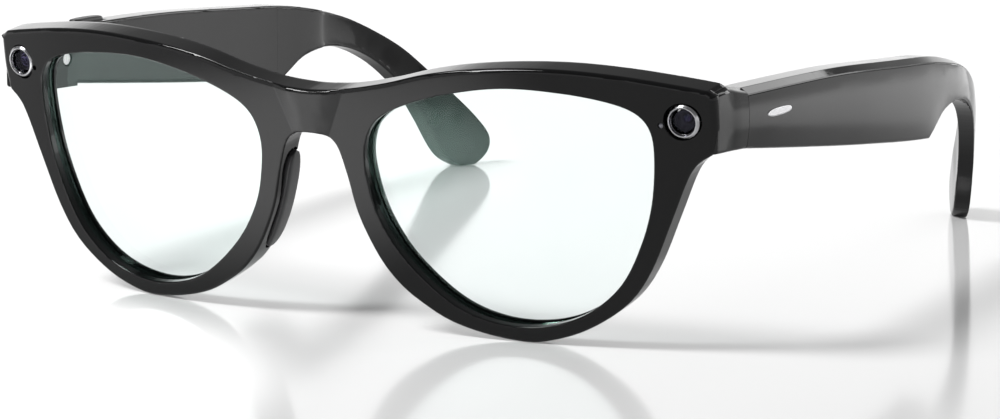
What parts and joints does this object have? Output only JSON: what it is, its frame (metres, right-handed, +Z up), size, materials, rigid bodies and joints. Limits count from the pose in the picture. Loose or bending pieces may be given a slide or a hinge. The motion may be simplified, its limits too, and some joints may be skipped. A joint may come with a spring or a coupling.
{
  "type": "smart glasses",
  "caption": "Full-rim smart glasses with folding temples, corner camera and capture light, top capture button, power slide switch and internal electronics.",
  "frame": {"origin": "middle of the footprint on the surface that the open glasses stand on, at the height of the rim bottoms and temple tips", "axes": "+Z up, the front looks along -Y, +X is the wearer's left"},
  "size_m": [0.1468, 0.1524, 0.0476],
  "materials": {
    "gloss_black": "polished black moulded plastic",
    "inner_black": "satin black moulded plastic",
    "lens_clear": "clear lens with a faint cool tint",
    "pad_black": "soft satin black",
    "bezel_metal": "dark anodised ring",
    "dark_glass": "black cover glass",
    "diffuser": "smoked translucent window",
    "steel": "machined steel",
    "gold": "gold plated",
    "flex": "amber polyimide film",
    "board": "green circuit board",
    "cell": "foil pouch",
    "mesh_dark": "black speaker case"
  },
  "bodies": {
    "front": {"front_frame": "gloss_black", "brow_rear_cover": "inner_black", "front_flex_cable": "flex", "lens_left": "lens_clear", "lens_right": "lens_clear", "nose_pad_left": "pad_black", "nose_pad_right": "pad_black", "hinge_front_leaf_left": "steel", "hinge_front_leaf_right": "steel", "hinge_screw_left": "steel", "hinge_screw_right": "steel", "leaf_screw_left": "steel", "leaf_screw_right": "steel", "camera_bezel": "bezel_metal", "camera_glass": "dark_glass", "camera_barrel": "inner_black", "camera_sensor": "board", "light_bezel": "bezel_metal", "light_diffuser": "diffuser", "light_lamp": "cell", "light_board": "board", "indicator_light": "diffuser", "contact_holder": "inner_black", "charging_contact_left": "gold", "charging_contact_right": "gold", "bridge_microphone": "steel"},
    "left_temple": {"temple_shell_left": "gloss_black", "temple_inner_cover_left": "inner_black", "hinge_temple_leaf_left": "steel", "temple_core_left": "steel", "speaker_left": "mesh_dark", "speaker_mesh_left": "steel", "temple_microphone_left": "steel", "temple_flex_left": "flex", "battery": "cell", "power_switch_base": "inner_black"},
    "right_temple": {"temple_shell_right": "gloss_black", "temple_inner_cover_right": "inner_black", "hinge_temple_leaf_right": "steel", "temple_core_right": "steel", "speaker_right": "mesh_dark", "speaker_mesh_right": "steel", "temple_microphone_right": "steel", "temple_flex_right": "flex", "main_board": "board", "touch_sensor": "flex", "button_switch": "steel"},
    "power_switch": {"power_switch": "pad_black"},
    "capture_button": {"capture_button": "inner_black"}
  },
  "joints": [
    {"name": "left_temple_fold", "type": "hinge", "parent": "front", "child": "left_temple", "pos_m": [0.066, -0.05366, 0.0387], "axis": [0, 0, 1], "range_deg": [0, 86]},
    {"name": "right_temple_fold", "type": "hinge", "parent": "front", "child": "right_temple", "pos_m": [-0.066, -0.05366, 0.0387], "axis": [0, 0, -1], "range_deg": [0, 73]},
    {"name": "capture_button_press", "type": "slide", "parent": "right_temple", "child": "capture_button", "axis": [0, 0, -1], "range_m": [0, 0.0004], "stiffness_N_per_m": 600, "springref_m": -0.0003},
    {"name": "power_switch_slide", "type": "slide", "parent": "left_temple", "child": "power_switch", "axis": [0, 1, 0], "range_m": [0, 0.0018]}
  ]
}
